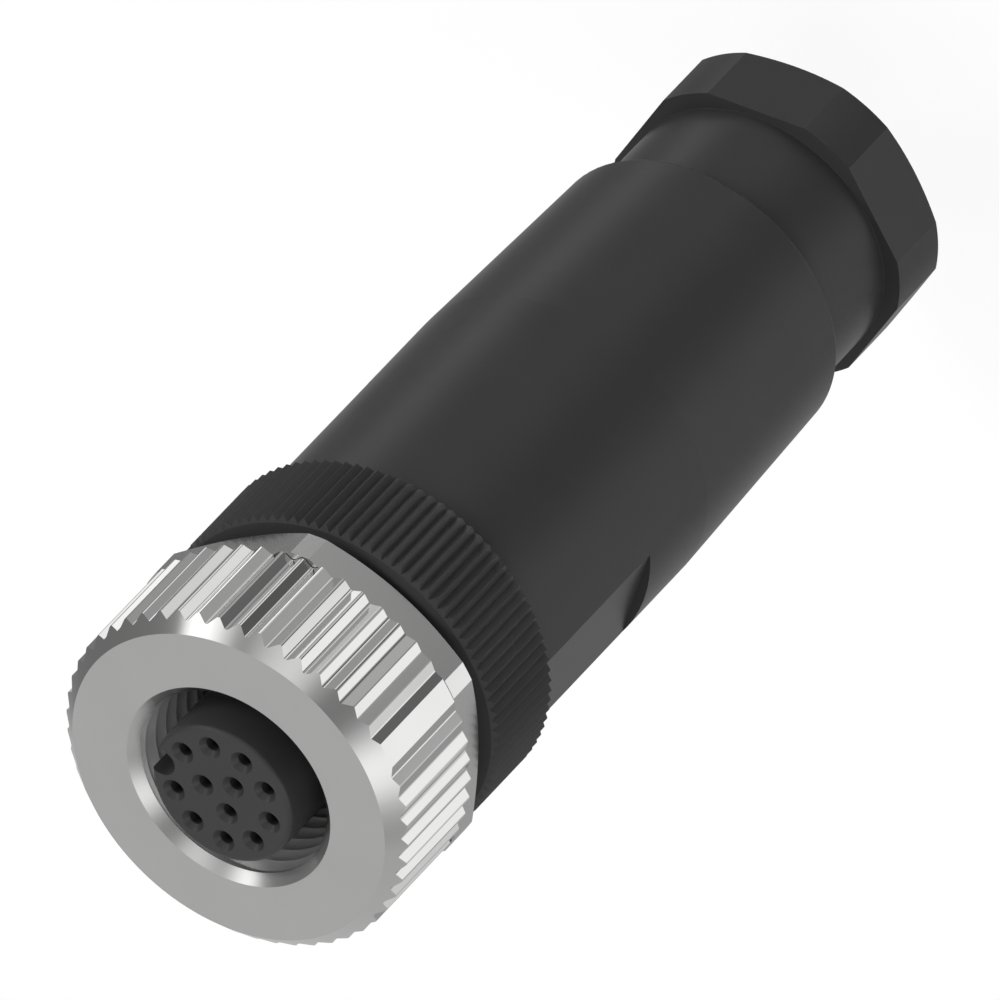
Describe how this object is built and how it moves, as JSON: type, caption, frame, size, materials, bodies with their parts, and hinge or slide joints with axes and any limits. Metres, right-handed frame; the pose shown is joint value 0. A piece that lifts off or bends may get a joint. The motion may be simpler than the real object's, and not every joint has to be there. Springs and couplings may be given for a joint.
{
  "type": "field-attachable circular connector",
  "caption": "Straight circular female cable connector with a fluted coupling nut, keyed socket insert, knurled collar, tapered sleeve and hexagonal gland nut.",
  "frame": {"origin": "centre of the gland nut's end face, at the bottom of the part's box", "axes": "+Z along the connector's axis, from the cable end to the mating face; +X and +Y are fixed so that the coding key lies 21.4 degrees from +X towards +Y"},
  "size_m": [0.0202, 0.02, 0.0571],
  "materials": {
    "black_plastic": "satin moulded plastic",
    "insert_plastic": "matt moulded plastic",
    "rubber": "matt rubber",
    "plated_metal": "bright nickel plating",
    "contact_metal": "gold plated"
  },
  "bodies": {
    "front": {"knurled_collar": "black_plastic", "collar_ring": "rubber", "nut_retainer": "plated_metal", "contact_insert": "insert_plastic", "mating_seal": "rubber", "contact_01": "contact_metal", "contact_02": "contact_metal", "contact_03": "contact_metal", "contact_04": "contact_metal", "contact_05": "contact_metal", "contact_06": "contact_metal", "contact_07": "contact_metal", "contact_08": "contact_metal", "contact_09": "contact_metal", "contact_10": "contact_metal", "contact_11": "contact_metal", "contact_12": "contact_metal"},
    "nut": {"coupling_nut": "plated_metal"},
    "seal_pack": {"cable_seal": "rubber", "thrust_washer": "black_plastic"},
    "sleeve": {"shell": "black_plastic"},
    "cage": {"clamp_cage": "black_plastic"},
    "gland": {"gland_nut": "black_plastic"}
  },
  "joints": [
    {"name": "nut_turn", "type": "hinge", "parent": "front", "child": "nut", "pos_m": [0, 0, 0.0515], "axis": [0, 0, 1], "continuous": true},
    {"name": "sleeve_travel", "type": "slide", "parent": "front", "child": "seal_pack", "axis": [0, 0, -1], "range_m": [0, 0.005]},
    {"name": "sleeve_turn", "type": "hinge", "parent": "seal_pack", "child": "sleeve", "pos_m": [0, 0, 0.026], "axis": [0, 0, -1], "range_deg": [-2, 1802]},
    {"name": "gland_travel", "type": "slide", "parent": "sleeve", "child": "cage", "axis": [0, 0, -1], "range_m": [0, 0.0035]},
    {"name": "gland_turn", "type": "hinge", "parent": "cage", "child": "gland", "pos_m": [0, 0, 0.008], "axis": [0, 0, -1], "range_deg": [-2, 1262]}
  ],
  "couplings": [
    {"joint": "sleeve_turn", "follows": "sleeve_travel", "rad_per_m": 6283.1},
    {"joint": "gland_turn", "follows": "gland_travel", "rad_per_m": 6283.1}
  ]
}
